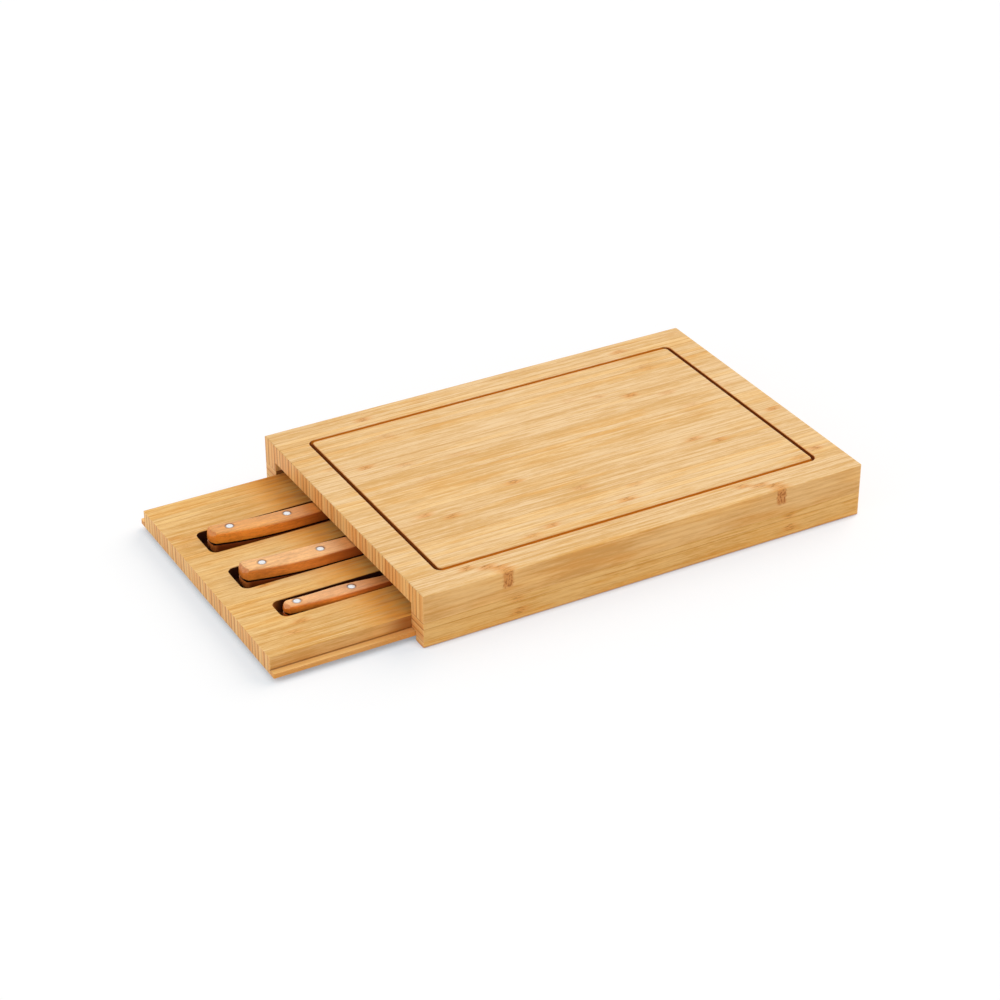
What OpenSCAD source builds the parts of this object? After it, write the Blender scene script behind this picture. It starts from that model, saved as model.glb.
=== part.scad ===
// Bamboo cutting board with a slide-out tray that holds three riveted knives.
//
// The origin is the centre of the board's underside, +X runs along the board towards its closed
// end, +Y points away from the near side and +Z up. The tray opens at -X and is drawn part of the
// way out, as it is shown. Each knife lies on its side: its spine faces -Y, its edge +Y.

/* [Board] */
// Length of the board
board_l = 360; // [350:1:460]
// Width of the board
board_w = 251; // [246:1:320]
// Thickness of the top board
top_t = 21.5; // [16:0.5:32]
// Height of the rails under the top board
rail_h = 20; // [16:0.5:24]
// Width of the two long rails
rail_w = 17.5; // [14:0.5:24]
// Width of the end rail
end_rail_w = 17.5; // [14:0.5:24]
// Radius of the two upright corners at the closed end
corner_r = 3; // [1.5:0.5:6]
// Radius of the two upright corners at the open end
mouth_corner_r = 0.8; // [0.5:0.1:2]
// Radius of the edges round the top face
top_ease = 0.8; // [0.4:0.1:2]
// Radius of the edges round the underside
bottom_ease = 1.8; // [0.5:0.1:3]

/* [Juice groove] */
// Distance from the board's edge to the groove's centre line
groove_inset = 24.7; // [15:0.1:40]
// Width of the groove at the top face
groove_w = 2.8; // [2:0.1:8]
// Depth of the round-bottomed groove
groove_d = 1.8; // [1:0.1:5]
// Radius of the groove's centre line at its corners
groove_corner_r = 4.5; // [4:0.5:20]
// Width and depth of the chamfers along the groove's rims
groove_ease = 0.4; // [0.1:0.1:0.8]

/* [Bottom panel] */
// Thickness of the bottom panel
panel_t = 3.7; // [3:0.1:5]
// How far the panel stops short of the open end
panel_recess = 12; // [6:0.5:40]
// How far the panel reaches into the rebate of each rail
rebate_w = 6.1; // [4:0.1:8]
// Gap round the panel's edges in its rebates
panel_gap = 0.1; // [0.05:0.05:0.5]

/* [Tray] */
// Thickness of the tray
tray_t = 13.3; // [11:0.1:16]
// Thickness of the tray's ledges and of its pocket floors
ledge_t = 3.4; // [2.5:0.1:5]
// Gap between each ledge's edge and the bottom of its rebate
ledge_side_gap = 0.4; // [0.2:0.1:1]
// Gap between the tray and the panel it slides on
tray_under_gap = 0.3; // [0.2:0.1:0.6]
// Gap between the ledges and the shoulders above them
tray_over_gap = 0.6; // [0.3:0.1:1.2]
// Gap between the tray's upper sides and the rails
tray_side_gap = 0.3; // [0.2:0.1:0.8]
// Gap between the closed tray and the end rail
tray_end_gap = 1.5; // [0.5:0.5:4]
// How far the tray is drawn out as shown
tray_out = 105.5; // [0:0.5:300]
// Radius of the tray's upright corners
tray_corner_r = 1.2; // [0.6:0.1:3]
// Radius of the tray's upper edges
tray_ease = 0.5; // [0.3:0.1:1.5]

/* [Pockets] */
// Radius of the pockets' corners
pocket_r = 5.5; // [3:0.5:7]
// Wood between the tray's near side and the first pocket
near_margin = 38.9; // [20:0.1:50]
// Wood between neighbouring pockets
pocket_web = 23.3; // [12:0.1:30]
// Front face of the tray to the pockets of the two long knives
pocket_start = 19.5; // [12:0.5:24]
// Front face of the tray to the paring knife's pocket
paring_pocket_start = 28.3; // [12:0.1:90]
// Free length at the butts of the long knives
butt_gap = 5; // [3:0.5:12]
// Free length at the butt of the paring knife
paring_butt_gap = 5.2; // [3:0.1:12]
// Free length at the tips
tip_gap = 3; // [1:0.5:8]
// Free width at the cutting edges
edge_gap = 2.5; // [1.5:0.1:6]
// Gap between a lying handle and the pocket's floor
lie_gap = 0.3; // [0.2:0.05:0.6]
// Gap between the thickest handle and the channel's ceiling
headroom = 0.9; // [0.6:0.1:3]

/* [Knives] */
// Thickness of the long knives' handles
handle_t = 18.4; // [14:0.1:20]
// Thickness of the paring knife's handle
paring_handle_t = 13.4; // [12:0.1:18]
// Thickness of the steel of the long knives
steel_t = 1.8; // [1.2:0.1:2.5]
// Thickness of the steel of the paring knife
paring_steel_t = 1.5; // [1:0.1:2]
// Thickness left at the cutting edges
edge_t = 0.3; // [0.2:0.05:0.5]
// How far the tangs' edges lie below the handles' outline
tang_inset = 0.6; // [0.1:0.1:1]
// How far the spines lie inside the handles' spine side
spine_inset = 1; // [0.5:0.1:2]
// Length of the heels, over which the blades reach their full width
heel_l = 9; // [4:0.5:14]
// Radius of the handles' long edges
handle_edge_r = 1.6; // [0.8:0.1:3]
// Length over which a butt's corner on the spine side is rounded
butt_spine_l = 1.8; // [1:0.1:3]
// Length over which a butt's corner on the edge side is rounded
butt_edge_l = 5.5; // [3:0.1:7]
// Length over which a butt's upper and lower ends are rounded
butt_face_l = 3.6; // [1.5:0.1:6]
// Diameter of the rivets
rivet_d = 6; // [4:0.1:7]
// Height of the rivets' crowned ends
rivet_crown = 0.25; // [0.1:0.05:0.5]
// How far the crowns stand out of the scales
rivet_proud = 0.12; // [0.05:0.01:0.18]

/* [Carving knife] */
// Length of the blade in front of the handle
carving_blade_l = 178; // [120:1:180]
// Width of the blade
carving_blade_w = 25.7; // [20:0.1:34]
// Length of the handle
carving_handle_l = 122; // [112:1:124]
// Gap between the handle's spine side and its pocket
carving_near_gap = 2.3; // [0.5:0.1:6]
// Width of the handle at its butt
carving_butt_w = 13.4; // [12:0.1:17]
// Width of the handle at its belly
carving_belly_w = 15.2; // [13:0.1:20]
// Width of the handle at its neck
carving_neck_w = 14.6; // [11:0.1:19]
// Width of the handle where it meets the blade
carving_guard_w = 16.5; // [12:0.1:20]
// How far the butt drops towards the cutting edge
carving_droop = 8.7; // [0:0.1:10]
// Butt to the first rivet
carving_rivet_end = 15.8; // [9:0.1:20]
// Distance between rivets
carving_rivet_pitch = 42.9; // [30:0.1:44]
// How far the rivets lie off the middle of the handle, towards the cutting edge
carving_rivet_shift = 1.5; // [0:0.1:2]
// How far the tip lies below the spine
carving_tip_drop = 9; // [3:0.5:14]

/* [Bread knife] */
// Length of the blade in front of the handle
bread_blade_l = 178; // [120:1:180]
// Width of the blade
bread_blade_w = 25.5; // [20:0.1:34]
// Length of the handle
bread_handle_l = 122; // [112:1:124]
// Gap between the handle's spine side and its pocket
bread_near_gap = 1.1; // [0.5:0.1:6]
// Width of the handle at its butt
bread_butt_w = 14.6; // [12:0.1:17]
// Width of the handle at its belly
bread_belly_w = 17.2; // [13:0.1:20]
// Width of the handle at its neck
bread_neck_w = 15.2; // [11:0.1:19]
// Width of the handle where it meets the blade
bread_guard_w = 16.8; // [12:0.1:20]
// How far the butt drops towards the cutting edge
bread_droop = 8.2; // [0:0.1:10]
// Butt to the first rivet
bread_rivet_end = 15.5; // [9:0.1:20]
// Distance between rivets
bread_rivet_pitch = 43.1; // [30:0.1:44]
// How far the rivets lie off the middle of the handle, towards the cutting edge
bread_rivet_shift = 0.5; // [0:0.1:2]
// How far the tip lies below the spine
bread_tip_drop = 8; // [3:0.5:14]
// Length of one scallop of the serrated edge
scallop_l = 8; // [5:0.5:14]
// Depth of the scallops
scallop_d = 1.2; // [0.5:0.1:2]

/* [Paring knife] */
// Length of the blade in front of the handle
paring_blade_l = 96; // [70:1:120]
// Width of the blade
paring_blade_w = 16.9; // [12:0.1:24]
// Length of the handle
paring_handle_l = 104; // [98:1:120]
// Gap between the handle's spine side and its pocket
paring_near_gap = 1; // [0.5:0.1:5]
// Width of the handle at its butt
paring_butt_w = 9.4; // [9:0.1:14]
// Width of the handle at its belly
paring_belly_w = 12.6; // [10:0.1:16]
// Width of the handle at its neck
paring_neck_w = 9.4; // [8.5:0.1:14]
// Width of the handle where it meets the blade
paring_guard_w = 11.5; // [9:0.1:15]
// How far the butt drops towards the cutting edge
paring_droop = 4.6; // [0:0.1:6]
// Butt to the first rivet
paring_rivet_end = 9.7; // [9:0.1:16]
// Distance between rivets
paring_rivet_pitch = 40.5; // [28:0.1:42]
// How far the rivets lie off the middle of the handle, towards the cutting edge
paring_rivet_shift = 0.4; // [0:0.1:1]
// How far the tip lies below the spine
paring_tip_drop = 6; // [3:0.5:9]

/* [Hidden] */
$fn = 48;

// Overshoot of every cut, so that no skin is left
cut = 1;

// Heights, from the underside up
tray_z = panel_t + tray_under_gap;
ledge_top = tray_z + ledge_t;
shoulder_z = ledge_top + tray_over_gap;
handle_z = ledge_top + lie_gap;
ceiling_z = handle_z + max(handle_t, paring_handle_t) + rivet_proud + headroom;
board_h = rail_h + top_t;

// Lengths and widths of the bay under the top board
bay_l = board_l - end_rail_w;
bay_w = board_w - 2 * rail_w;
mouth_x = -board_l / 2;
tray_l = bay_l - tray_end_gap;
tray_w = bay_w - 2 * tray_side_gap;
ledge_w = rebate_w - ledge_side_gap + tray_side_gap;
front_x = mouth_x - tray_out;

// Each knife as [blade length, blade width, handle length, handle thickness, steel thickness,
// butt, belly, neck and guard widths, droop, butt to first rivet, rivet distance, rivet shift]
carving = [
    carving_blade_l, carving_blade_w, carving_handle_l, handle_t, steel_t,
    carving_butt_w, carving_belly_w, carving_neck_w, carving_guard_w, carving_droop,
    carving_rivet_end, carving_rivet_pitch, carving_rivet_shift
];
bread = [
    bread_blade_l, bread_blade_w, bread_handle_l, handle_t, steel_t,
    bread_butt_w, bread_belly_w, bread_neck_w, bread_guard_w, bread_droop,
    bread_rivet_end, bread_rivet_pitch, bread_rivet_shift
];
paring = [
    paring_blade_l, paring_blade_w, paring_handle_l, paring_handle_t, paring_steel_t,
    paring_butt_w, paring_belly_w, paring_neck_w, paring_guard_w, paring_droop,
    paring_rivet_end, paring_rivet_pitch, paring_rivet_shift
];
function blade_l(k) = k[0];
function blade_w(k) = k[1];
function handle_l(k) = k[2];
function thick(k) = k[3];
function steel(k) = k[4];
function butt_w(k) = k[5];
function belly_w(k) = k[6];
function neck_w(k) = k[7];
function guard_w(k) = k[8];
function droop(k) = k[9];
function rivet_end(k) = k[10];
function rivet_pitch(k) = k[11];
function rivet_shift(k) = k[12];

// Pockets, from the near side to the far side
function pocket_w(k, near_gap) = near_gap + spine_inset + blade_w(k) + edge_gap;
function pocket_l(k, butt) = butt + handle_l(k) + blade_l(k) + tip_gap;
paring_pocket_y = -tray_w / 2 + near_margin;
bread_pocket_y = paring_pocket_y + pocket_w(paring, paring_near_gap) + pocket_web;
carving_pocket_y = bread_pocket_y + pocket_w(bread, bread_near_gap) + pocket_web;

// Where along a handle its belly and neck lie, and how far the droop of its butt reaches
belly_at = 0.42;
neck_at = 0.75;
droop_share = 0.5;
rivet_count = 3;

// Shares of a butt's width and of a scale's height that the rounding of the butt takes, and the
// largest share of a scale's width or height that the radius of its long edges takes
butt_side_share = 0.42;
butt_height_share = 0.75;
edge_share = 0.45;

// Counts of steps along each lofted form
handle_steps = 16;
round_steps = 5;
crown_steps = 96;
blade_steps = 26;
scallop_steps = 6;

// Blades: share of the width that stays flat, length rooted in the tang, steel that grinding
// takes off each face, and width left at the tip
grind_at = 0.3;
root_l = 2;
ground_off = 0.05;
tip_w = 0.6;

// Where along each blade the spine starts to drop and the edge starts to rise, as shares of its
// length, and how late both curves bend
carving_turns = [0.6, 0.45];
bread_turns = [0.85, 0.9];
paring_turns = [0.5, 0.35];
drop_bend = 1.8;
rise_bend = 2.4;

function smooth(t) = let (u = min(1, max(0, t))) u * u * (3 - 2 * u);
function mix(a, b, t) = a + (b - a) * t;
// How far a corner of radius r has drawn in at distance d before its end
function rounding(r, d) = d >= r ? 0 : r - sqrt(max(0, r * r - (r - d) * (r - d)));

// ---------------------------------------------------------------- board

// A rectangle from the origin with its own radius at each corner: left front, right front,
// right back and left back
module soft_rectangle(size, radii) {
    corners = [[0, 0], [size.x, 0], [size.x, size.y], [0, size.y]];
    difference() {
        square(size);
        for (i = [0:3]) {
            translate(corners[i])
                rotate(90 * i)
                    difference() {
                        translate([-cut, -cut])
                            square(radii[i] + cut);
                        translate([radii[i], radii[i]])
                            circle(radii[i]);
                    }
        }
    }
}

// The whole outside of the board, with every edge eased; each piece is cut to it
module board_outside() {
    intersection() {
        translate([mouth_x, -board_w / 2, 0])
            linear_extrude(board_h)
                soft_rectangle([board_l, board_w],
                    [mouth_corner_r, corner_r, corner_r, mouth_corner_r]);
        translate([mouth_x, board_w / 2, 0])
            rotate([90, 0, 0])
                linear_extrude(board_w)
                    soft_rectangle([board_l, board_h],
                        [mouth_corner_r, bottom_ease, top_ease, mouth_corner_r]);
        translate([mouth_x, -board_w / 2, 0])
            rotate([90, 0, 90])
                linear_extrude(board_l)
                    soft_rectangle([board_w, board_h],
                        [bottom_ease, bottom_ease, top_ease, top_ease]);
    }
}

// The groove's section, with y = 0 at the top face: round-bottomed, with chamfered rims
module groove_profile() {
    ball_r = (groove_w * groove_w / 4 + groove_d * groove_d) / (2 * groove_d);
    rim = groove_w / 2 + groove_ease;
    intersection() {
        translate([0, ball_r - groove_d])
            circle(ball_r);
        translate([-rim, -groove_d - cut])
            square([2 * rim, groove_d + 2 * cut]);
    }
    polygon([
        [-rim, cut], [-rim, 0], [-groove_w / 2, -groove_ease],
        [groove_w / 2, -groove_ease], [rim, 0], [rim, cut]
    ]);
}

// One side of the groove and the corner that follows it
module groove_run(length) {
    straight = length - 2 * groove_corner_r;
    translate([-straight / 2, 0, 0])
        rotate([90, 0, 90])
            linear_extrude(straight)
                groove_profile();
    translate([straight / 2, groove_corner_r, 0])
        rotate(-90)
            rotate_extrude(angle = 90)
                translate([groove_corner_r, 0])
                    groove_profile();
}

module juice_groove() {
    long = board_l - 2 * groove_inset;
    wide = board_w - 2 * groove_inset;
    translate([0, 0, board_h]) {
        for (turn = [0, 180]) {
            rotate(turn) {
                translate([0, -wide / 2, 0])
                    groove_run(long);
                translate([long / 2, 0, 0])
                    rotate(90)
                        groove_run(wide);
            }
        }
    }
}

module top_board() {
    color("burlywood")
        difference() {
            intersection() {
                board_outside();
                translate([mouth_x, -board_w / 2, rail_h])
                    cube([board_l, board_w, top_t]);
            }
            translate([mouth_x - cut, -bay_w / 2, rail_h - cut])
                cube([bay_l + cut, bay_w, ceiling_z - rail_h + cut]);
            juice_groove();
        }
}

// The near rail, with the rebate along its inner lower edge
module long_rail() {
    difference() {
        intersection() {
            board_outside();
            translate([mouth_x, -board_w / 2, 0])
                cube([board_l, rail_w, rail_h]);
        }
        translate([mouth_x - cut, -bay_w / 2 - rebate_w, -cut])
            cube([board_l + 2 * cut, rebate_w + cut, shoulder_z + cut]);
    }
}

module front_rail() {
    color("burlywood")
        long_rail();
}

module back_rail() {
    color("burlywood")
        mirror([0, 1, 0])
            long_rail();
}

// Fits between the long rails, with a tongue in each rebate and a rebate of its own for the panel
module end_rail() {
    color("burlywood")
        difference() {
            intersection() {
                board_outside();
                translate([mouth_x + bay_l, 0, 0])
                    union() {
                        translate([0, -bay_w / 2, 0])
                            cube([end_rail_w, bay_w, rail_h]);
                        translate([0, -bay_w / 2 - rebate_w, 0])
                            cube([end_rail_w, bay_w + 2 * rebate_w, shoulder_z]);
                    }
            }
            translate([mouth_x + bay_l - cut, -board_w / 2, -cut])
                cube([rebate_w + cut, board_w, panel_t + panel_gap + cut]);
        }
}

module bottom_panel() {
    panel_l = bay_l + rebate_w - panel_gap - panel_recess;
    panel_w = bay_w + 2 * rebate_w - 2 * panel_gap;
    color("tan")
        translate([mouth_x + panel_recess, -panel_w / 2, 0])
            cube([panel_l, panel_w, panel_t]);
}

// ---------------------------------------------------------------- tray

module pocket(start, y, length, width) {
    translate([front_x + start, y, ledge_top])
        linear_extrude(tray_t)
            soft_rectangle([length, width], [pocket_r, pocket_r, pocket_r, pocket_r]);
}

module tray_outside() {
    ledges_w = tray_w + 2 * ledge_w;
    r = tray_corner_r;
    // The ledges, full length
    translate([front_x, -ledges_w / 2, tray_z])
        linear_extrude(ledge_t)
            soft_rectangle([tray_l, ledges_w], [r, r, r, r]);
    // The body, with eased upper edges
    intersection() {
        translate([front_x, -tray_w / 2, tray_z])
            linear_extrude(tray_t)
                soft_rectangle([tray_l, tray_w], [r, r, r, r]);
        translate([front_x, -tray_w / 2, tray_z])
            rotate([90, 0, 90])
                linear_extrude(tray_l)
                    soft_rectangle([tray_w, tray_t], [tray_ease, tray_ease, tray_ease, tray_ease]);
    }
}

module tray() {
    color("wheat")
        difference() {
            tray_outside();
            pocket(pocket_start, carving_pocket_y,
                pocket_l(carving, butt_gap), pocket_w(carving, carving_near_gap));
            pocket(pocket_start, bread_pocket_y,
                pocket_l(bread, butt_gap), pocket_w(bread, bread_near_gap));
            pocket(paring_pocket_start, paring_pocket_y,
                pocket_l(paring, paring_butt_gap), pocket_w(paring, paring_near_gap));
        }
}

// ---------------------------------------------------------------- knives
//
// A knife's own frame: x runs from its butt to its tip, y from its spine to its edge, and z up
// from the side it lies on.

module in_carving_pocket() {
    translate([front_x + pocket_start + butt_gap, carving_pocket_y + carving_near_gap, handle_z])
        children();
}

module in_bread_pocket() {
    translate([front_x + pocket_start + butt_gap, bread_pocket_y + bread_near_gap, handle_z])
        children();
}

module in_paring_pocket() {
    translate([front_x + paring_pocket_start + paring_butt_gap,
        paring_pocket_y + paring_near_gap, handle_z])
        children();
}

// Spine side and width of a handle at distance x from its butt
function handle_near(k, x) =
    let (t = max(0, 1 - x / (droop_share * handle_l(k))))
    droop(k) * t * t;
function handle_width(k, x) =
    let (belly_x = belly_at * handle_l(k), neck_x = neck_at * handle_l(k))
    x < belly_x ? mix(butt_w(k), belly_w(k), smooth(x / belly_x)) :
    x < neck_x ? mix(belly_w(k), neck_w(k), smooth((x - belly_x) / (neck_x - belly_x))) :
    mix(neck_w(k), guard_w(k), smooth((x - neck_x) / (handle_l(k) - neck_x)));

// Distances from the butt at which the sections of a form stand that lies inset from the
// handle's outline: close together round the butt
function handle_stations(k, inset) =
    let (butt = max(butt_edge_l, butt_face_l))
    [
        each [for (i = [0:round_steps]) mix(inset, butt, 1 - cos(90 * i / round_steps))],
        each [for (i = [1:handle_steps]) mix(butt, handle_l(k), i / handle_steps)]
    ];

// How far an elliptical corner, reach long and depth deep, has drawn in at distance d from its end
function drawn_in(reach, depth, d) = depth * rounding(reach, d) / reach;

// The two sides of a form that lies inset from the handle's outline, with the butt's corners
function spine_side(k, x, inset) =
    handle_near(k, x) + inset
    + drawn_in(butt_spine_l, butt_side_share * butt_w(k) - inset, x - inset);
function edge_side(k, x, inset) =
    handle_near(k, x) + handle_width(k, x) - inset
    - drawn_in(butt_edge_l, butt_side_share * butt_w(k) - inset, x - inset);

// One section of a scale: flat on the tang, with rounded outer edges
function scale_section(k, x) =
    let (
        y0 = spine_side(k, x, 0),
        y1 = edge_side(k, x, 0),
        full = (thick(k) - steel(k)) / 2,
        h = full - drawn_in(butt_face_l, butt_height_share * full, x),
        r = min(handle_edge_r, edge_share * (y1 - y0), edge_share * h)
    )
    [
        [x, y0, 0],
        each [for (i = [0:round_steps])
            let (a = 90 * i / round_steps) [x, y0 + r - r * cos(a), h - r + r * sin(a)]],
        each [for (i = [0:round_steps])
            let (a = 90 * i / round_steps) [x, y1 - r + r * sin(a), h - r + r * cos(a)]],
        [x, y1, 0]
    ];

// A solid through sections that all have the same number of points
module loft(sections) {
    rings = len(sections);
    n = len(sections[0]);
    polyhedron(
        points = [for (ring = sections) each ring],
        faces = [
            for (i = [1:n - 2]) [0, i + 1, i],
            for (i = [1:n - 2]) [(rings - 1) * n, (rings - 1) * n + i, (rings - 1) * n + i + 1],
            for (j = [0:rings - 2], i = [0:n - 1]) each [
                [j * n + i, (j + 1) * n + (i + 1) % n, (j + 1) * n + i],
                [j * n + i, j * n + (i + 1) % n, (j + 1) * n + (i + 1) % n]
            ]
        ]
    );
}

function rivet_x(k, i) = rivet_end(k) + i * rivet_pitch(k);
function rivet_y(k, i) =
    let (x = rivet_x(k, i)) handle_near(k, x) + handle_width(k, x) / 2 + rivet_shift(k);

module at_rivets(k) {
    for (i = [0:rivet_count - 1]) {
        translate([rivet_x(k, i), rivet_y(k, i), 0])
            children();
    }
}

module rivet_holes(k) {
    at_rivets(k)
        translate([0, 0, -cut])
            cylinder(d = rivet_d, h = thick(k) + 2 * cut);
}

module upper_scale(k) {
    color("peru")
        difference() {
            translate([0, 0, (thick(k) + steel(k)) / 2])
                loft([for (x = handle_stations(k, 0)) scale_section(k, x)]);
            rivet_holes(k);
        }
}

module lower_scale(k) {
    color("peru")
        difference() {
            translate([0, 0, (thick(k) - steel(k)) / 2])
                mirror([0, 0, 1])
                    loft([for (x = handle_stations(k, 0)) scale_section(k, x)]);
            rivet_holes(k);
        }
}

// Pins through both scales and the tang, with crowned ends
module rivets(k) {
    length = thick(k) + 2 * rivet_proud;
    crown_r = (rivet_d * rivet_d / 4 + rivet_crown * rivet_crown) / (2 * rivet_crown);
    color("silver")
        at_rivets(k)
            translate([0, 0, -rivet_proud])
                intersection() {
                    cylinder(d = rivet_d, h = length);
                    translate([0, 0, crown_r])
                        sphere(crown_r, $fn = crown_steps);
                    translate([0, 0, length - crown_r])
                        sphere(crown_r, $fn = crown_steps);
                }
}

// The tang fills the handle's outline, a little inside it, and is pierced for the rivets
module tang(k) {
    stations = handle_stations(k, tang_inset);
    last = len(stations) - 1;
    outline = [
        for (x = stations) [x, spine_side(k, x, tang_inset)],
        for (i = [last:-1:0]) [stations[i], edge_side(k, stations[i], tang_inset)]
    ];
    difference() {
        translate([0, 0, -steel(k) / 2])
            linear_extrude(steel(k))
                polygon(outline);
        translate([0, 0, -thick(k) / 2])
            rivet_holes(k);
    }
}

// One section of a blade: t thick from y0 to the grind line, then down to t1 at y1
function blade_section(x, y0, y1, t, t1) =
    let (yg = mix(y0, y1, grind_at))
    [
        [x, y0, -t / 2], [x, y0, t / 2], [x, yg, t / 2],
        [x, y1, t1 / 2], [x, y1, -t1 / 2], [x, yg, -t / 2]
    ];

// The blade is rooted in the tang. u runs from 0 at the handle to 1 at the tip: the heel swells to
// the full width, the spine drops to the tip from turns[0] on, and the edge rises to it from
// turns[1] on. Scallops of depth notch are cut in the edge.
module blade(k, steps, turns, tip_drop, notch) {
    t = steel(k) - 2 * ground_off;
    root_y = guard_w(k) - spine_inset;
    tip_y = spine_inset + tip_drop;
    loft([
        blade_section(handle_l(k) - root_l, spine_inset, root_y, t, t),
        for (i = [0:steps])
            let (
                u = i / steps,
                along = u * blade_l(k),
                swell = smooth(along / heel_l),
                drop = pow(max(0, (u - turns[0]) / (1 - turns[0])), drop_bend),
                rise = pow(max(0, (u - turns[1]) / (1 - turns[1])), rise_bend),
                scallop = notch * swell * abs(sin(180 * along / scallop_l)),
                edge = mix(root_y, spine_inset + blade_w(k), swell) - scallop
            )
            blade_section(
                handle_l(k) + along,
                mix(spine_inset, tip_y - tip_w / 2, drop),
                mix(edge, tip_y + tip_w / 2, rise),
                t,
                mix(t, edge_t, swell))
    ]);
}

// Tang and blade are one piece of steel
module steel_of(k) {
    color("gainsboro")
        translate([0, 0, thick(k) / 2]) {
            tang(k);
            children();
        }
}

module carving_blade() {
    in_carving_pocket()
        steel_of(carving)
            blade(carving, blade_steps, carving_turns, carving_tip_drop, 0);
}

module carving_upper_scale() {
    in_carving_pocket()
        upper_scale(carving);
}

module carving_lower_scale() {
    in_carving_pocket()
        lower_scale(carving);
}

module carving_rivets() {
    in_carving_pocket()
        rivets(carving);
}

module bread_blade() {
    steps = scallop_steps * floor(bread_blade_l / scallop_l);
    in_bread_pocket()
        steel_of(bread)
            blade(bread, steps, bread_turns, bread_tip_drop, scallop_d);
}

module bread_upper_scale() {
    in_bread_pocket()
        upper_scale(bread);
}

module bread_lower_scale() {
    in_bread_pocket()
        lower_scale(bread);
}

module bread_rivets() {
    in_bread_pocket()
        rivets(bread);
}

module paring_blade() {
    in_paring_pocket()
        steel_of(paring)
            blade(paring, blade_steps, paring_turns, paring_tip_drop, 0);
}

module paring_upper_scale() {
    in_paring_pocket()
        upper_scale(paring);
}

module paring_lower_scale() {
    in_paring_pocket()
        lower_scale(paring);
}

module paring_rivets() {
    in_paring_pocket()
        rivets(paring);
}

top_board();
front_rail();
back_rail();
end_rail();
bottom_panel();
tray();
carving_blade();
carving_upper_scale();
carving_lower_scale();
carving_rivets();
bread_blade();
bread_upper_scale();
bread_lower_scale();
bread_rivets();
paring_blade();
paring_upper_scale();
paring_lower_scale();
paring_rivets();
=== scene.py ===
import math

import bmesh
import bpy
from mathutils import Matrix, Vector


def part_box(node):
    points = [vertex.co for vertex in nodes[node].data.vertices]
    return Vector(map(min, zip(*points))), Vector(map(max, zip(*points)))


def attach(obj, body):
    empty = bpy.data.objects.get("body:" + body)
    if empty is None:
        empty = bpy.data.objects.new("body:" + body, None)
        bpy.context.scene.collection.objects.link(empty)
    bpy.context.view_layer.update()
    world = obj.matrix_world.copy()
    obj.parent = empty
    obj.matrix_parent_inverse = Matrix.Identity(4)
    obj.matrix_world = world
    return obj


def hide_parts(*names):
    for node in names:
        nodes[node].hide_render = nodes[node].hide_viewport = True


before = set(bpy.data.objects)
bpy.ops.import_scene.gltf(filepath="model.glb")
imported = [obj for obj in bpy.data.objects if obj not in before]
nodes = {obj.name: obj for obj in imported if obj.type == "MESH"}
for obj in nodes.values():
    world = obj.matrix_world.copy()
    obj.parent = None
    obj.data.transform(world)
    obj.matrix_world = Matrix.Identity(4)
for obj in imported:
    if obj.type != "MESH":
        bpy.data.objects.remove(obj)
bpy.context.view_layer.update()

# Camera. It looks down on the board from the front left, about two metres off, through a lens
# long enough that the board's sides stay nearly parallel.
camera_data = bpy.data.cameras.new("camera")
camera_data.sensor_width = 36
camera_data.lens = 93.78
camera = bpy.data.objects.new("camera", camera_data)
camera.location = (-0.846907, -1.421847, 0.986057)
camera.rotation_euler = (math.radians(59.182), 0, math.radians(-29.241))
bpy.context.scene.collection.objects.link(camera)
bpy.context.scene.camera = camera

# Studio. A white sky that is brighter towards its rim. The key lamp stands at the back right, so
# that its soft shadow falls to the left and the front, and a weak low lamp fills the near sides.
bpy.context.scene.view_settings.view_transform = "Standard"
bpy.context.scene.world = bpy.data.worlds.new("studio")
bpy.context.scene.world.use_nodes = True


def looked_at(tree):
    # 1 for what the camera sees, also in a mirror or through glass, and 0 for what only lights
    path = tree.nodes.new("ShaderNodeLightPath")
    seen = path.outputs["Is Camera Ray"]
    for name in ("Is Glossy Ray", "Is Transmission Ray"):
        either = tree.nodes.new("ShaderNodeMath")
        either.operation = "MAXIMUM"
        tree.links.new(seen, either.inputs[0])
        tree.links.new(path.outputs[name], either.inputs[1])
        seen = either.outputs[0]
    return seen


rim_light = 0.8
zenith_light = 0.34
sky_tree = bpy.context.scene.world.node_tree
sky = sky_tree.nodes["Background"]
sky.inputs["Color"].default_value = (1, 1, 1, 1)
sky_side = sky_tree.nodes.new("ShaderNodeSeparateXYZ")
sky_tree.links.new(sky_tree.nodes.new("ShaderNodeTexCoord").outputs["Generated"], sky_side.inputs[0])
sky_light = sky_tree.nodes.new("ShaderNodeMapRange")
sky_light.inputs["To Min"].default_value = rim_light
sky_light.inputs["To Max"].default_value = zenith_light
sky_tree.links.new(sky_side.outputs[2], sky_light.inputs["Value"])
sky_strength = sky_tree.nodes.new("ShaderNodeMapRange")
sky_tree.links.new(looked_at(sky_tree), sky_strength.inputs["Value"])
sky_tree.links.new(sky_light.outputs[0], sky_strength.inputs["To Min"])
sky_tree.links.new(sky_strength.outputs[0], sky.inputs["Strength"])


def lamp(name, towards, strength, softness):
    data = bpy.data.lights.new(name, "SUN")
    data.energy = strength
    data.angle = math.radians(softness)
    light = bpy.data.objects.new(name, data)
    light.rotation_euler = Vector(towards).to_track_quat("Z", "Y").to_euler()
    # Steel and varnish mirror the white sky alone, so that no blade is burnt out by the lamp
    light.visible_glossy = False
    bpy.context.scene.collection.objects.link(light)


lamp("key_lamp", towards=(0.82, 0.22, 0.72), strength=2.05, softness=55)
lamp("fill_lamp", towards=(-0.85, -0.5, 0.3), strength=0.85, softness=80)

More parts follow.
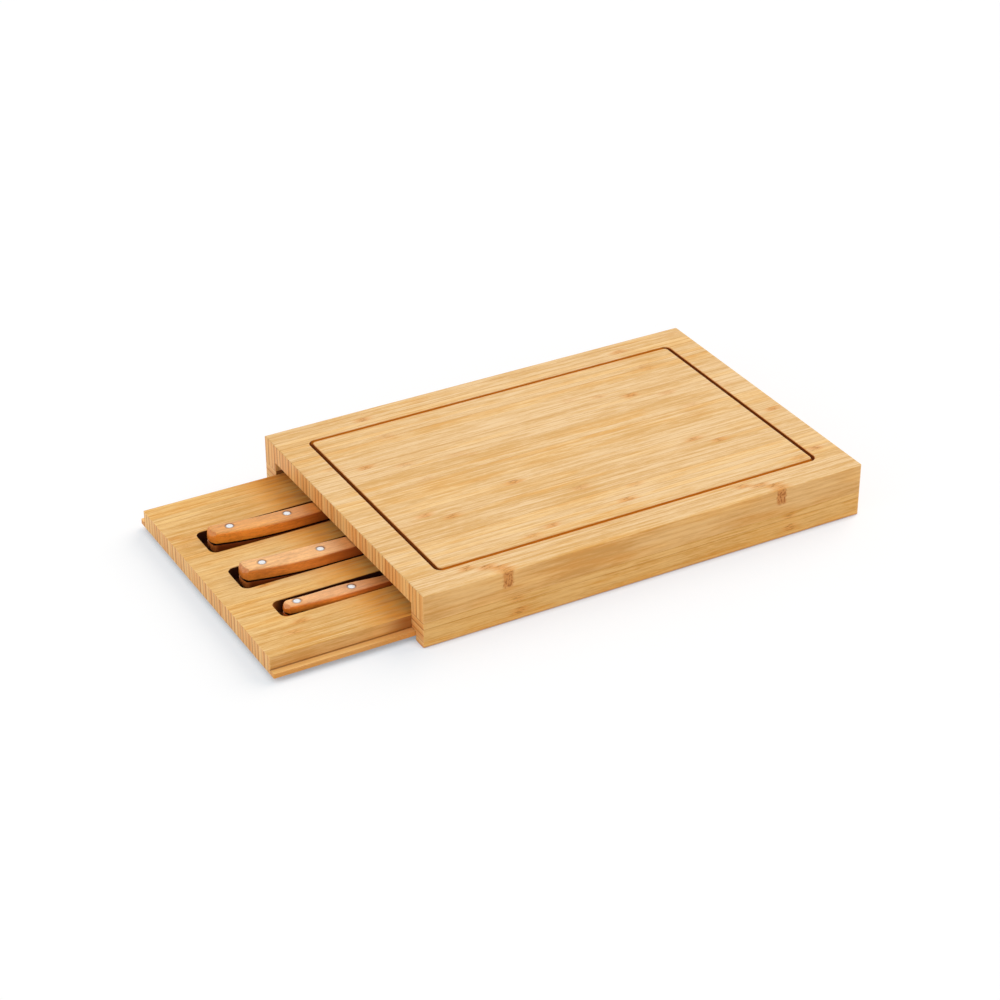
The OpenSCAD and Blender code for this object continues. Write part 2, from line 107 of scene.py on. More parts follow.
# Table. A white top so bright that its shadow is faint: to the camera it is just white where
# nothing stands near, a neutral grey where the object takes its light, and dark right under an
# edge. From below it is clear.
table_half = 8
table_grey = 0.86
just_white = 1.004
open_light = 0.99
shade_share = (0.5, 0.4, 0.33)
edge_reach = 0.009
edge_dark = 0.3
table_material = bpy.data.materials.new("white_table")
table_material.use_nodes = True
table_tree = table_material.node_tree
table_tree.nodes.remove(table_tree.nodes["Principled BSDF"])
matt = table_tree.nodes.new("ShaderNodeBsdfDiffuse")
matt.inputs["Color"].default_value = (table_grey, table_grey, table_grey, 1)
shaded = table_tree.nodes.new("ShaderNodeBsdfDiffuse")
shaded.inputs["Color"].default_value = (*shade_share, 1)
glow = table_tree.nodes.new("ShaderNodeEmission")
glow.inputs["Color"].default_value = (*(just_white - open_light * share for share in shade_share), 1)
openness = table_tree.nodes.new("ShaderNodeAmbientOcclusion")
openness.samples = 4
openness.inputs["Distance"].default_value = edge_reach
under_edge = table_tree.nodes.new("ShaderNodeMapRange")
under_edge.inputs["From Min"].default_value = 0.2
under_edge.inputs["From Max"].default_value = 0.62
under_edge.inputs["To Min"].default_value = edge_dark
table_tree.links.new(openness.outputs["AO"], under_edge.inputs["Value"])
table_tree.links.new(under_edge.outputs[0], glow.inputs["Strength"])
shown = table_tree.nodes.new("ShaderNodeAddShader")
table_tree.links.new(shaded.outputs[0], shown.inputs[0])
table_tree.links.new(glow.outputs[0], shown.inputs[1])
clear = table_tree.nodes.new("ShaderNodeBsdfTransparent")
facing_away = table_tree.nodes.new("ShaderNodeNewGeometry").outputs["Backfacing"]


def mixed(tree, share, first, second):
    node = tree.nodes.new("ShaderNodeMixShader")
    tree.links.new(share, node.inputs[0])
    tree.links.new(first.outputs[0], node.inputs[1])
    tree.links.new(second.outputs[0], node.inputs[2])
    return node


lit = mixed(table_tree, looked_at(table_tree), matt, shown)
one_sided = mixed(table_tree, facing_away, lit, clear)
table_tree.links.new(one_sided.outputs[0], table_tree.nodes["Material Output"].inputs["Surface"])


def piece_of(name, shape, material):
    # The finished shape as a piece of the scene, with its place in its mesh
    mesh = bpy.data.meshes.new(name)
    shape.to_mesh(mesh)
    shape.free()
    mesh.materials.append(material)
    piece = bpy.data.objects.new(name, mesh)
    bpy.context.scene.collection.objects.link(piece)
    return piece


table_top = bmesh.new()
bmesh.ops.create_grid(table_top, x_segments=1, y_segments=1, size=table_half)
piece_of("floor", table_top, table_material)

# Top board. A slab of bamboo strips five millimetres thick, glued side by side on edge, planed,
# sanded and oiled. A router cuts the groove round it, whose walls drink the oil and darken, and
# whose paint is partly painted shade, and mills the tray's channel in its underside.
X, Y, Z = range(3)


def paint(red, green, blue):
    # A colour as the eye reads it, 0 to 255, made the linear one that the shader takes
    linear = []
    for level in (red, green, blue):
        share = level / 255
        linear.append(share / 12.92 if share <= 0.04045 else ((share + 0.055) / 1.055) ** 2.4)
    return (*linear, 1)


def blank(name):
    # A new material, with its nodes and its surface
    material = bpy.data.materials.new(name)
    material.use_nodes = True
    return material, material.node_tree, material.node_tree.nodes["Principled BSDF"]


def feed(tree, value, target):
    # Joins a node's output to the input, or sets the input to a plain value
    if isinstance(value, bpy.types.NodeSocket):
        tree.links.new(value, target)
    else:
        target.default_value = value


def calc(tree, operation, *values):
    node = tree.nodes.new("ShaderNodeMath")
    node.operation = operation
    for value, target in zip(values, node.inputs):
        feed(tree, value, target)
    return node.outputs[0]


def times(tree, value, *others):
    for other in others:
        value = calc(tree, "MULTIPLY", value, other)
    return value


def unsigned(tree, value):
    return calc(tree, "ABSOLUTE", value)


def gap(tree, value, other):
    return unsigned(tree, calc(tree, "SUBTRACT", value, other))


def rise(tree, value, start, end, low=0.0, high=1.0):
    # Goes smoothly from low to high as the value goes from start to end
    node = tree.nodes.new("ShaderNodeMapRange")
    node.interpolation_type = "SMOOTHSTEP"
    for given, target in zip((value, start, end, low, high), node.inputs):
        feed(tree, given, target)
    return node.outputs[0]


def fall(tree, value, start, end, high=1.0):
    return rise(tree, value, start, end, high, 0.0)


def blend(tree, share, first, second, way="MIX"):
    node = tree.nodes.new("ShaderNodeMix")
    node.data_type = "RGBA"
    node.blend_type = way
    node.clamp_factor = True
    feed(tree, share, node.inputs[0])
    feed(tree, first, node.inputs[6])
    feed(tree, second, node.inputs[7])
    return node.outputs[2]


def grained(tree, parts, scales, detail, roughness):
    # Noise that is drawn out by a scale of its own along each direction, in cells per metre
    vector = tree.nodes.new("ShaderNodeCombineXYZ")
    for part, scale, target in zip(parts, scales, vector.inputs):
        feed(tree, calc(tree, "MULTIPLY", part, scale), target)
    noise = tree.nodes.new("ShaderNodeTexNoise")
    noise.inputs["Scale"].default_value = 1
    noise.inputs["Detail"].default_value = detail
    noise.inputs["Roughness"].default_value = roughness
    tree.links.new(vector.outputs[0], noise.inputs["Vector"])
    return noise.outputs["Fac"]


def dice(tree, value):
    # Three numbers from 0 to 1 that are the same wherever the value is
    node = tree.nodes.new("ShaderNodeTexWhiteNoise")
    node.noise_dimensions = "1D"
    feed(tree, value, node.inputs["W"])
    split = tree.nodes.new("ShaderNodeSeparateColor")
    tree.links.new(node.outputs["Color"], split.inputs[0])
    return split.outputs[0], split.outputs[1], split.outputs[2]


def placed(tree, output="Object"):
    # Where a point is, or which way its face looks, as three numbers
    split = tree.nodes.new("ShaderNodeSeparateXYZ")
    tree.links.new(tree.nodes.new("ShaderNodeTexCoord").outputs[output], split.inputs[0])
    return split.outputs


def weigh(tree, start, *terms):
    # The start plus each noise, measured from its middle, times its weight
    total = start
    for noise, weight in terms:
        centred = calc(tree, "SUBTRACT", noise, 0.5)
        total = calc(tree, "MULTIPLY_ADD", centred, weight, total)
    return total


def relief(tree, surface, height, depth, strength):
    # Pores and lines that the light catches, up to the depth
    bump = tree.nodes.new("ShaderNodeBump")
    bump.inputs["Distance"].default_value = depth
    bump.inputs["Strength"].default_value = strength
    tree.links.new(height, bump.inputs["Height"])
    tree.links.new(bump.outputs[0], surface.inputs["Normal"])


def bamboo(name, grain, stack, strip, first, edge_tones, wide_tones, band_above=-1.0):
    # Strips of one thickness, stacked along one axis, with their fibres along another. The tones
    # are a deep and a pale one, for a strip's edge and for its wide face, which lies nearer the
    # skin of the stem. Chance draws each strip by its number, counted on from the first.
    material, tree, surface = blank(name)
    where = placed(tree)
    facing = placed(tree, "Normal")
    along = where[grain]
    across = where[stack]
    depth = where[X + Y + Z - grain - stack]
    point = (along, across, depth)

    # Which strip, where in it, and what chance gives that strip. The half and the quarters that
    # are added to a strip's number draw for it again. The slide takes its grain from elsewhere.
    longest_slide = 3
    counted = calc(tree, "MULTIPLY_ADD", across, 1 / strip, first)
    number = calc(tree, "FLOOR", counted)
    inside = calc(tree, "FRACT", counted)
    tone, shift, knots = dice(tree, number)
    flip, hue, sweep = dice(tree, calc(tree, "ADD", number, 0.5))
    slid = (calc(tree, "MULTIPLY_ADD", shift, longest_slide, along), across, depth)

    # Fibres run straight along a strip and are packed closer towards one of its sides
    broad = grained(tree, slid, (20, 560, 460), 2, 0.55)
    narrow = grained(tree, slid, (60, 1150, 1050), 2, 0.6)
    fine = grained(tree, slid, (200, 3000, 3000), 2, 0.6)
    cloud = grained(tree, point, (11, 14, 14), 2, 0.6)
    dense = gap(tree, inside, calc(tree, "ROUND", flip))
    wide = rise(tree, unsigned(tree, facing[stack]), 0.55, 0.9)
    on_edge = calc(tree, "SUBTRACT", 1, wide)
    lightness = weigh(tree, 0.5, (tone, 0.42), (dense, fall(tree, wide, 0, 1, 0.35)),
                      (broad, 2.0), (narrow, rise(tree, wide, 0, 1, 1.8, 1.3)),
                      (fine, rise(tree, wide, 0, 1, 1.5, 1.0)),
                      (cloud, rise(tree, wide, 0, 1, 1.2, 3.0)))
    colour = blend(tree, wide, blend(tree, lightness, *edge_tones),
                   blend(tree, lightness, *wide_tones))
    flushes = grained(tree, point, (15, 90, 90), 2, 0.6)
    warmth = rise(tree, weigh(tree, 0.5, (hue, 0.8), (flushes, 1.6)), 0.45, 1.0, 0.0, 0.3)
    sap = (0.93, 0.5, 0.2, 1)
    colour = blend(tree, warmth, colour, sap, "SOFT_LIGHT")

    # Joints of the bamboo stem: each strip has one about every 22 centimetres, and strips cut
    # from one stem lie together, so that theirs lie in clusters. On a strip's edge a joint is an
    # orange flush with a few short brown dashes, and on its wide face a narrow speckled band.
    joint_pitch = 0.224
    joint_spread = 0.14
    strips_of_stem = 4
    which_stem = calc(tree, "FLOOR", calc(tree, "DIVIDE", number, strips_of_stem))
    stem = dice(tree, calc(tree, "ADD", which_stem, 0.75))
    joint_at = calc(tree, "MULTIPLY_ADD", shift, joint_spread, stem[0])
    joint_at = calc(tree, "FRACT", calc(tree, "MULTIPLY_ADD", along, 1 / joint_pitch, joint_at))
    past_joint = times(tree, calc(tree, "SUBTRACT", joint_at, 0.5), joint_pitch)
    strong = times(tree, rise(tree, knots, 0.25, 0.9), rise(tree, stem[1], 0.1, 0.6, 0.4, 1.0))
    wander = grained(tree, point, (50, 900, 900), 3, 0.7)
    from_joint = unsigned(tree, weigh(tree, past_joint, (wander, 0.016)))
    flush = times(tree, fall(tree, from_joint, 0.001, 0.011, 0.75), strong, on_edge,
                  rise(tree, narrow, 0.2, 0.6))
    colour = blend(tree, flush, colour, paint(228, 150, 62))
    dashes = rise(tree, grained(tree, point, (230, 1500, 1500), 2, 0.75), 0.48, 0.6)
    dashes = times(tree, fall(tree, from_joint, 0.0015, 0.005), strong, on_edge, dashes, 0.75)
    colour = blend(tree, dashes, colour, paint(164, 106, 42))
    frayed = grained(tree, point, (300, 300, 300), 2, 0.6)
    from_joint = unsigned(tree, weigh(tree, past_joint, (frayed, 0.004)))
    band = times(tree, fall(tree, from_joint, 0.0028, 0.0048),
                 rise(tree, depth, band_above, band_above + 0.003), strong, wide)
    dots = rise(tree, grained(tree, point, (600, 560, 360), 2, 0.65), 0.5, 0.58)
    colour = blend(tree, times(tree, band, 0.7), colour, paint(204, 128, 56))
    colour = blend(tree, times(tree, band, dots, 0.75), colour, paint(158, 84, 28))

    # Glue lines, some of them plain to see and others hardly
    glue_t = 0.00012
    glue = glue_t / strip
    to_seam = calc(tree, "MINIMUM", inside, calc(tree, "SUBTRACT", 1, inside))
    seam_tone = dice(tree, calc(tree, "ADD", calc(tree, "ROUND", counted), 0.25))[0]
    seam = times(tree, fall(tree, to_seam, glue * 0.6, glue * 1.8), on_edge)
    colour = blend(tree, times(tree, seam, rise(tree, seam_tone, 0.1, 1.0, 0.1, 0.8)), colour,
                   paint(190, 118, 48))

    # End grain: each strip goes from the pale inside of the stem to its dense outside
    end_on = rise(tree, unsigned(tree, facing[grain]), 0.6, 0.9)
    bundles = grained(tree, point, (900, 1500, 1100), 2, 0.7)
    outwards = weigh(tree, 0.4, (bundles, 1.2), (dense, 0.6), (tone, 0.5), (cloud, 0.5))
    end_colour = blend(tree, outwards, paint(252, 206, 134), paint(228, 152, 74))
    end_colour = blend(tree, rise(tree, sweep, 0.6, 1.0, 0.0, 0.25), end_colour, paint(218, 130, 60))
    glued = times(tree, fall(tree, to_seam, glue * 1.6, glue * 5),
                  rise(tree, seam_tone, 0.0, 0.8, 0.4, 0.95))
    end_colour = blend(tree, glued, end_colour, paint(168, 84, 34))
    tree.links.new(blend(tree, end_on, colour, end_colour), surface.inputs["Base Color"])

    height = calc(tree, "MULTIPLY_ADD", fine, 0.5, narrow)
    height = calc(tree, "MULTIPLY_ADD", seam, -0.5, height)
    relief(tree, surface, height, 0.00006, 0.5)
    tree.links.new(weigh(tree, 0.46, (narrow, 0.2)), surface.inputs["Roughness"])
    surface.inputs["Specular IOR Level"].default_value = 0.2
    return material


def overpaint(material, share, colour):
    # Lays a colour over the material's own, by the share
    tree = material.node_tree
    target = tree.nodes["Principled BSDF"].inputs["Base Color"]
    tree.links.new(blend(tree, share, target.links[0].from_socket, colour), target)


def dull(material, share):
    # Takes the shine off, by the share
    tree = material.node_tree
    target = tree.nodes["Principled BSDF"].inputs["Roughness"]
    tree.links.new(calc(tree, "MAXIMUM", target.links[0].from_socket, share), target)


def dress(node, material):
    nodes[node].data.materials.clear()
    nodes[node].data.materials.append(material)


board_low, board_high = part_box("top_board")
mouth_x = board_low.x
strip_t = 0.005
near_strip = 3420.02
band_h = 0.014
# The top shows the edge tones, painted paler than the near side's wide tones partly as a painted sheen
edge_tones = (paint(221, 170, 98), paint(243, 207, 156))
wide_tones = (paint(213, 156, 84), paint(238, 191, 127))
top_wood = bamboo("bamboo_on_edge", X, Y, strip_t, near_strip - board_low.y / strip_t,
                  edge_tones, wide_tones, board_high.z - band_h)
dress("top_board", top_wood)
top_tree = top_wood.node_tree
top_place = placed(top_tree)
top_facing = placed(top_tree, "Normal")

# The groove: how far its centre line lies inside the board's edge, its corners' radius, half its
# width, and the width of its broken edge, past which a hair's breadth softens the paint
groove_inset = 0.0247
groove_corner = 0.0045
groove_reach = 0.0014
groove_rim = 0.0005
hair = 0.0001
past_straight = []
for part, half in zip(top_place, board_high.xy):
    straight_end = half - groove_inset - groove_corner
    past_straight.append(calc(top_tree, "SUBTRACT", unsigned(top_tree, part), straight_end))
squares = [calc(top_tree, "POWER", calc(top_tree, "MAXIMUM", distance, 0), 2)
           for distance in past_straight]
outer = calc(top_tree, "SQRT", calc(top_tree, "ADD", *squares))
inner = calc(top_tree, "MINIMUM", calc(top_tree, "MAXIMUM", *past_straight), 0)
off_line = gap(top_tree, calc(top_tree, "ADD", inner, outer), groove_corner)
cross_run = rise(top_tree, past_straight[X], 0.0, groove_corner)

# Its long runs are painted orange, partly the oiled wall's own colour and partly painted shade,
# and the cross runs almost black, which is painted shade in the narrow groove
below_top = calc(top_tree, "SUBTRACT", board_high.z, top_place[Z])
in_groove = times(top_tree, fall(top_tree, off_line, groove_reach, groove_reach + hair),
                  rise(top_tree, below_top, hair, 4 * hair))
cross_colour = blend(top_tree, fall(top_tree, top_facing[X], -0.75, -0.3),
                     paint(92, 34, 2), paint(130, 60, 12))
overpaint(top_wood, in_groove, blend(top_tree, cross_run, paint(202, 120, 28), cross_colour))
dull(top_wood, in_groove)

# Painted highlight: the cross runs' broken edge, where it looks to the open end, is painted light
# orange
rim_highlight = times(top_tree, rise(top_tree, off_line, groove_reach, groove_reach + hair),
                fall(top_tree, off_line, groove_reach + groove_rim, groove_reach + groove_rim + hair),
                fall(top_tree, top_facing[X], -0.5, -0.4), cross_run)
overpaint(top_wood, rim_highlight, paint(240, 160, 84))

# Painted shade: the channel's ceiling is painted dark, where little light reaches
channel_shade_paint = paint(118, 62, 22)
channel_shade_share = 0.85
ceiling = calc(top_tree, "LESS_THAN", top_facing[Z], -0.5)
overpaint(top_wood, times(top_tree, ceiling, channel_shade_share), channel_shade_paint)

# Rails. Two long rails and a shorter one across the closed end, each four strips laid flat on one
# another and glued. They are glued under the top board and are rebated for the panel and the tray.
rail_tones = (paint(215, 154, 70), paint(238, 190, 118))
outer_skin = 0.003


def inside_out(material, outer_y):
    # The faces that look into the tray's channel are painted dark, as painted shade inside the channel
    tree = material.node_tree
    where = placed(tree)
    facing = placed(tree, "Normal")
    hidden = times(tree, calc(tree, "LESS_THAN", unsigned(tree, where[Y]), outer_y),
                   calc(tree, "GREATER_THAN", facing[Z], -0.5),
                   calc(tree, "GREATER_THAN", where[X], mouth_x + 0.0005),
                   calc(tree, "LESS_THAN", facing[X], 0.5), channel_shade_share)
    overpaint(material, hidden, channel_shade_paint)


def low_edge_deeper(material):
    # The lowest edge is painted a deeper orange, fading out within two and a half millimetres
    tree = material.node_tree
    overpaint(material, fall(tree, placed(tree)[Z], 0.0006, 0.0024, 0.6), paint(224, 138, 56))


for node, grain, first, outer_y in (("front_rail", X, 7, board_high.y - outer_skin),
                                    ("back_rail", X, 21, board_high.y - outer_skin),
                                    ("end_rail", Y, 63, board_high.y)):
    rail_wood = bamboo("bamboo_" + node, grain, Z, strip_t, first, rail_tones, wide_tones)
    inside_out(rail_wood, outer_y)
    low_edge_deeper(rail_wood)
    dress(node, rail_wood)

# Bottom panel. One thin layer of strips laid flat, let into the rails' rebates from below and
# glued. The tray's ledges slide over it.
panel_strip_w = 0.0205
panel_wood = bamboo("bamboo_flat", X, Y, panel_strip_w, 17.5, edge_tones, wide_tones)
inside_out(panel_wood, board_high.y)
dress("bottom_panel", panel_wood)

# Tray. A thinner slab of strips on edge, milled out for the three pockets, with a ledge down each
# side that slides in the rails' rebates. The pockets are painted near black-brown, mostly as painted
# shade.
tray_strip_t = 0.0048
tray_tones = (paint(215, 158, 78), paint(241, 201, 138))
tray_wood = bamboo("bamboo_tray", X, Y, tray_strip_t, 90.7, tray_tones, wide_tones)
dress("tray", tray_wood)
tray_low, tray_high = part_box("tray")
tray_tree = tray_wood.node_tree
tray_place = placed(tray_tree)
tray_facing = placed(tray_tree, "Normal")
upright = fall(tray_tree, tray_facing[Z], 0.2, 0.8)

# What stays under the board is painted orange in streaks towards the mouth, brown right in it, and
# both fade further in: a warm painted shade where the board shadows the tray.
streaks = grained(tray_tree, tray_place, (60, 480, 480), 3, 0.65)
shade_blotches = grained(tray_tree, tray_place, (16, 300, 300), 3, 0.6)
deep_inside = rise(tray_tree, tray_place[X], mouth_x + 0.008, mouth_x + 0.05)
tray_mouth_shade = times(tray_tree, rise(tray_tree, tray_place[X], mouth_x - 0.048, mouth_x - 0.005),
            rise(tray_tree, streaks, 0.3, 0.65, 0.5, 1.0),
            rise(tray_tree, tray_facing[Z], 0.2, 0.8, 0.4, 1.0),
            rise(tray_tree, deep_inside, 0, 1, 1.0, 0.45))
overpaint(tray_wood, tray_mouth_shade, blend(tray_tree, deep_inside, paint(252, 176, 78), paint(232, 170, 96)))
tray_mouth_brown_shade = times(tray_tree, rise(tray_tree, tray_place[X], mouth_x - 0.032, mouth_x + 0.008),
                rise(tray_tree, shade_blotches, 0.44, 0.66, 0.0, 0.6),
                rise(tray_tree, deep_inside, 0, 1, 1.0, 0.12))
overpaint(tray_wood, tray_mouth_brown_shade, paint(214, 108, 28))
dull(tray_wood, tray_mouth_shade)

# Its sides are painted browner in the mouth, above the ledge, as painted shade under the board. The
# ledge is painted orange, its top paler than its side as painted light, and a dark line in the
# corner where it leaves the side is painted shade.
ledge_t = 0.0034
ledge_w = 0.0057
ledge_top = tray_low.z + ledge_t
ledge_y = tray_high.y - ledge_w
side_y = unsigned(tray_tree, tray_place[Y])
side_mouth_shade = times(tray_tree, rise(tray_tree, tray_place[X], mouth_x - 0.027, mouth_x - 0.003, 0.0, 0.8),
                 upright, calc(tray_tree, "GREATER_THAN", tray_place[Z], ledge_top))
overpaint(tray_wood, side_mouth_shade, paint(150, 84, 24))
on_ledge = times(tray_tree, fall(tray_tree, tray_place[Z], ledge_top + 0.0003, ledge_top + 0.0005),
                 calc(tray_tree, "GREATER_THAN", side_y, ledge_y), 0.6)
overpaint(tray_wood, on_ledge, blend(tray_tree, upright, paint(255, 204, 130), paint(226, 150, 68)))
# Painted shade: the dark line in the ledge's corner
from_corner = calc(tray_tree, "MAXIMUM", gap(tray_tree, tray_place[Z], ledge_top),
                   gap(tray_tree, side_y, ledge_y))
overpaint(tray_wood, fall(tray_tree, from_corner, 0.0003, 0.0009, 0.6), paint(130, 66, 14))

# The pockets' dark paint, painted shade in their hollows, which is lighter in the free end of the
# paring knife's. All the pockets lie inside a border of the tray, and above its underside.
border = 0.009
below_face = calc(tray_tree, "SUBTRACT", tray_high.z, tray_place[Z])
in_pocket = times(tray_tree, rise(tray_tree, below_face, 0.0002, 0.0006),
                  calc(tray_tree, "GREATER_THAN", tray_place[Z], tray_low.z + 0.001))
for part, low, high in zip(tray_place, tray_low.xy, tray_high.xy):
    in_pocket = times(tray_tree, in_pocket, calc(tray_tree, "GREATER_THAN", part, low + border),
                      calc(tray_tree, "LESS_THAN", part, high - border))
paring_pocket_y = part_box("paring_blade")[1].y + 0.006
paring_end_lighter = times(tray_tree,
                   fall(tray_tree, tray_place[X], tray_low.x + 0.028, tray_low.x + 0.038, 0.8),
                   calc(tray_tree, "LESS_THAN", tray_place[Y], paring_pocket_y))
overpaint(tray_wood, in_pocket, blend(tray_tree, paring_end_lighter, paint(58, 24, 8), paint(196, 118, 50)))
dull(tray_wood, in_pocket)

# Handles. Reddish hardwood scales either side of a full tang, shaped together with it, stained by
# hand and varnished, so that each knife has its own tone. The crown of each handle is painted
# paler than its deep orange flanks, as painted light and sheen; towards the blade each darkens,
# painted shade at the board's mouth, and a dark ring round each rivet is painted shade.
knives = ("carving", "bread", "paring")
# Crown colours are paler than flank colours: painted light from above
crowns = (paint(234, 160, 72), paint(246, 186, 118), paint(246, 180, 116))
flanks = (paint(250, 150, 48), paint(226, 134, 48), paint(240, 138, 46))
# The lower scales are painted dark: painted shade, where they lie down in the pocket
lower_scale_shade = paint(150, 66, 22)
rivet_r = 0.003


def pins_of(knife):
    # The middles of a knife's three rivets, from its butt on
    low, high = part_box(knife + "_rivets")
    middles = []
    for x in (low.x + rivet_r, (low.x + high.x) / 2, high.x - rivet_r):
        across_pin = [corner.co.y for corner in nodes[knife + "_rivets"].data.vertices
                      if abs(corner.co.x - x) < rivet_r]
        middles.append(Vector((x, (min(across_pin) + max(across_pin)) / 2, 0)))
    return middles


def varnished(name, knife, crown, flank):
    material, tree, surface = blank(name)
    where = placed(tree)
    facing = placed(tree, "Normal")

    # The wood's own figure, flecks and open pores
    figure = grained(tree, where, (26, 420, 420), 3, 0.65)
    flecks = grained(tree, where, (240, 1500, 1500), 2, 0.7)
    pores = grained(tree, where, (420, 2800, 2800), 2, 0.6)
    patches = grained(tree, where, (60, 130, 130), 3, 0.6)
    tone = weigh(tree, 0.5, (figure, 1.5), (patches, 0.8), (flecks, 1.0))
    deeper = (0.66, 0.56, 0.46, 1)
    paler = (1.26, 1.3, 1.3, 1)
    spread = blend(tree, tone, deeper, paler)
    # Painted light: faces that look up take the crown colour, the sides the flank colour
    upward = rise(tree, facing[Z], 0.35, 0.85)
    colour = blend(tree, 1.0, blend(tree, upward, flank, crown), spread, "MULTIPLY")
    colour = blend(tree, rise(tree, pores, 0.6, 0.74, 0.0, 0.45), colour, paint(142, 62, 20))

    # The butt's end grain is deeper in colour. Towards the blade the wood is painted darker, painted
    # shade at the board's mouth, and a ring round each rivet darker, painted shade in its gap
    end_on = rise(tree, unsigned(tree, facing[X]), 0.55, 0.95, 0.0, 0.4)
    colour = blend(tree, end_on, colour, paint(196, 104, 38))
    handle_mouth_shade = times(tree, rise(tree, where[X], mouth_x - 0.042, mouth_x + 0.008),
                     rise(tree, upward, 0, 1, 0.85, 0.4))
    colour = blend(tree, handle_mouth_shade, colour, blend(tree, upward, paint(128, 42, 6), paint(200, 94, 26)))
    to_pin = 1.0
    for middle in pins_of(knife):
        squares = [calc(tree, "POWER", calc(tree, "SUBTRACT", part, at), 2)
                   for part, at in zip(where, middle.xy)]
        to_pin = calc(tree, "MINIMUM", to_pin, calc(tree, "SQRT", calc(tree, "ADD", *squares)))
    rivet_gap_shade = fall(tree, to_pin, rivet_r + 0.0001, rivet_r + 0.0014, 0.45)
    tree.links.new(blend(tree, rivet_gap_shade, colour, paint(120, 62, 32)), surface.inputs["Base Color"])

    tree.links.new(weigh(tree, 0.36, (figure, 0.2)), surface.inputs["Roughness"])
    surface.inputs["Coat Weight"].default_value = 0.4
    surface.inputs["Coat Roughness"].default_value = 0.28
    relief(tree, surface, weigh(tree, 0.5, (pores, -1.0), (flecks, 0.6)), 0.00004, 0.5)
    return material


def soften(shape, sharp_angle):
    # Turns the faces outwards and shades them as one smooth surface, except at sharp edges
    bmesh.ops.recalc_face_normals(shape, faces=shape.faces)
    for face in shape.faces:
        face.smooth = True
    for edge in shape.edges:
        edge.smooth = edge.calc_face_angle(0) < math.radians(sharp_angle)


def smoothed(node, name, sharp_angle, body, material, cuts):
    # The node's own shape, softened. Each cut is a flat filed on it: which way the flat looks,
    # and how far out it lies.
    shape = bmesh.new()
    shape.from_mesh(nodes[node].data)
    bmesh.ops.remove_doubles(shape, verts=shape.verts, dist=0.000005)
    for outward, reach in cuts:
        filed = bmesh.ops.bisect_plane(shape, geom=shape.verts[:] + shape.edges[:] + shape.faces[:],
                                       plane_co=outward * reach, plane_no=outward, clear_outer=True)
        rim = [part for part in filed["geom_cut"] if isinstance(part, bmesh.types.BMEdge)]
        if rim:
            bmesh.ops.contextual_create(shape, geom=rim)
    soften(shape, sharp_angle)
    piece = piece_of(name, shape, material)
    even = piece.modifiers.new("even_shading", "WEIGHTED_NORMAL")
    even.keep_sharp = True
    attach(piece, body)
    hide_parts(node)


# The butt is filed flat across its near corner, through all its layers, and along its crown
corner_cut = Vector((-0.86, -0.51, 0)).normalized()
crown_cut = Vector((-0.78, -0.2, 0.6)).normalized()
cut_depth = 0.0008
scale_edge = 28
butt_cuts = {}
for knife, crown, flank in zip(knives, crowns, flanks):
    corners = [corner.co for corner in nodes[knife + "_upper_scale"].data.vertices]
    filed_flats = [(outward, max(outward.dot(corner) for corner in corners) - cut_depth)
                   for outward in (corner_cut, crown_cut)]
    butt_cuts[knife] = filed_flats[:1]
    smoothed(knife + "_upper_scale", knife + "_handle_upper", scale_edge, knife + "_knife",
             varnished(knife + "_wood_upper", knife, crown, flank), filed_flats)
    lower_wood = varnished(knife + "_wood_lower", knife, lower_scale_shade, lower_scale_shade)
    lower_tree = lower_wood.node_tree
    butt_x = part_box(knife + "_lower_scale")[0].x
    # Painted light: the lower scale is painted lighter at its butt, where it is lit
    overpaint(lower_wood, fall(lower_tree, placed(lower_tree)[X], butt_x + 0.001, butt_x + 0.005, 0.85),
              paint(228, 128, 58))
    smoothed(knife + "_lower_scale", knife + "_handle_lower", scale_edge, knife + "_knife",
             lower_wood, butt_cuts[knife])

# Blades. Stainless steel, ground from the middle down to the edge, with the fine lines of the
# wheel across them. The tang inside the handle is painted near black: painted shade in the slit.
steel, steel_tree, steel_surface = blank("ground_steel")
blade_edge = 8
steel_where = placed(steel_tree)
wheel_lines = grained(steel_tree, steel_where, (5200, 120, 800), 2, 0.6)
steel_cloud = grained(steel_tree, steel_where, (30, 60, 60), 2, 0.5)
steel_tone = weigh(steel_tree, 0.5, (wheel_lines, 0.8), (steel_cloud, 0.6))
steel_tones = ((0.4, 0.405, 0.41, 1), (0.62, 0.625, 0.63, 1))
tang_shade = (0.05, 0.03, 0.02, 1)
steel_colour = blend(steel_tree, steel_tone, *steel_tones)
shortest_handle = min(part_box(knife + "_upper_scale")[1].x for knife in knives)
# Painted shade: inside the handle the tang is near black
in_handle = fall(steel_tree, steel_where[X], shortest_handle - 0.0015, shortest_handle - 0.0005)
steel_colour = blend(steel_tree, in_handle, steel_colour, tang_shade)
steel_tree.links.new(steel_colour, steel_surface.inputs["Base Color"])
steel_tree.links.new(weigh(steel_tree, 0.42, (wheel_lines, 0.3)), steel_surface.inputs["Roughness"])
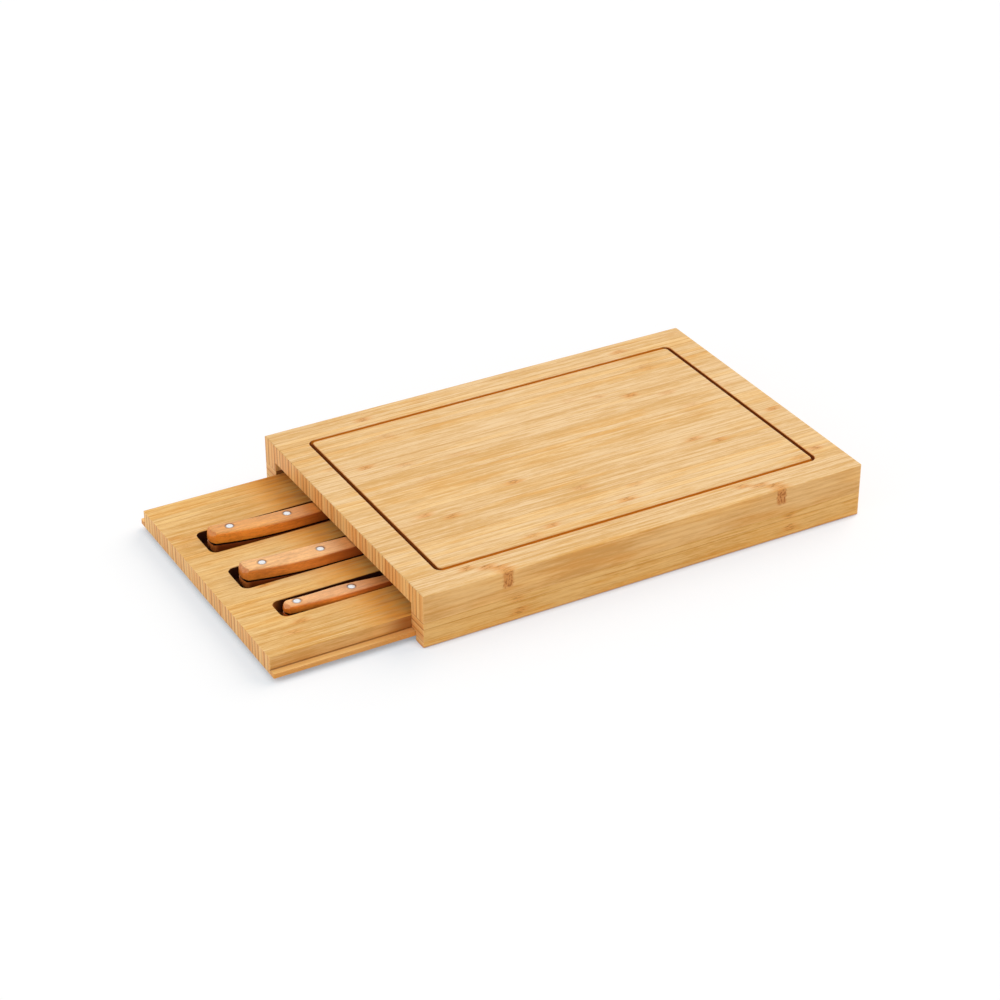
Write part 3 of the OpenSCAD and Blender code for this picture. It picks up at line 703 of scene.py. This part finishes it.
steel_surface.inputs["Metallic"].default_value = 1
relief(steel_tree, steel_surface, wheel_lines, 0.00001, 0.4)
for knife in knives:
    smoothed(knife + "_blade", knife + "_steel", blade_edge, knife + "_knife", steel,
             butt_cuts[knife])

# Rivets. Steel pins through both scales and the tang, closed to low domed heads that lie in the
# wood, and polished. The dark ring round them is painted shade in the handle's wood.
rivet_dome = 0.0005
dome_step = math.radians(15)
rivet_edge = 40
rivet_steel, rivet_tree, rivet_surface = blank("polished_steel")
scuffs = grained(rivet_tree, placed(rivet_tree), (1100, 1100, 1100), 3, 0.6)
level = unsigned(rivet_tree, placed(rivet_tree, "Normal")[Z])
# Painted reflection: each dome's tilted rim is painted darker than its level top, with real scuffs over
# both
sheen_and_scuffs = weigh(rivet_tree, rise(rivet_tree, level, 0.955, 0.996), (scuffs, 0.9))
rivet_tones = ((0.46, 0.46, 0.47, 1), (0.88, 0.89, 0.9, 1))
rivet_tree.links.new(blend(rivet_tree, sheen_and_scuffs, *rivet_tones), rivet_surface.inputs["Base Color"])
rivet_tree.links.new(weigh(rivet_tree, 0.3, (scuffs, 0.25)), rivet_surface.inputs["Roughness"])
rivet_surface.inputs["Metallic"].default_value = 1
for knife in knives:
    rivet_low, rivet_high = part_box(knife + "_rivets")
    rivets = bmesh.new()
    for middle in pins_of(knife):
        # Half the pin's outline, from the top of one dome over its rim to the bottom of the other
        dome = [Vector((rivet_r * math.sin(turn), 0, rivet_dome * (math.cos(turn) - 1)))
                for turn in (dome_step * step for step in range(7))]
        outline = [middle + point + Vector((0, 0, rivet_high.z)) for point in dome]
        outline += [middle + Vector((point.x, 0, rivet_low.z - point.z)) for point in reversed(dome)]
        pin = [rivets.verts.new(point) for point in outline]
        pin += [rivets.edges.new(pair) for pair in zip(pin, pin[1:])]
        bmesh.ops.spin(rivets, geom=pin, cent=middle, axis=(0, 0, 1), angle=math.tau, steps=32,
                       use_merge=True)
    bmesh.ops.remove_doubles(rivets, verts=rivets.verts, dist=0.000005)
    soften(rivets, rivet_edge)
    pins = piece_of(knife + "_pins", rivets, rivet_steel)
    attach(pins, knife + "_knife")
    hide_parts(knife + "_rivets")
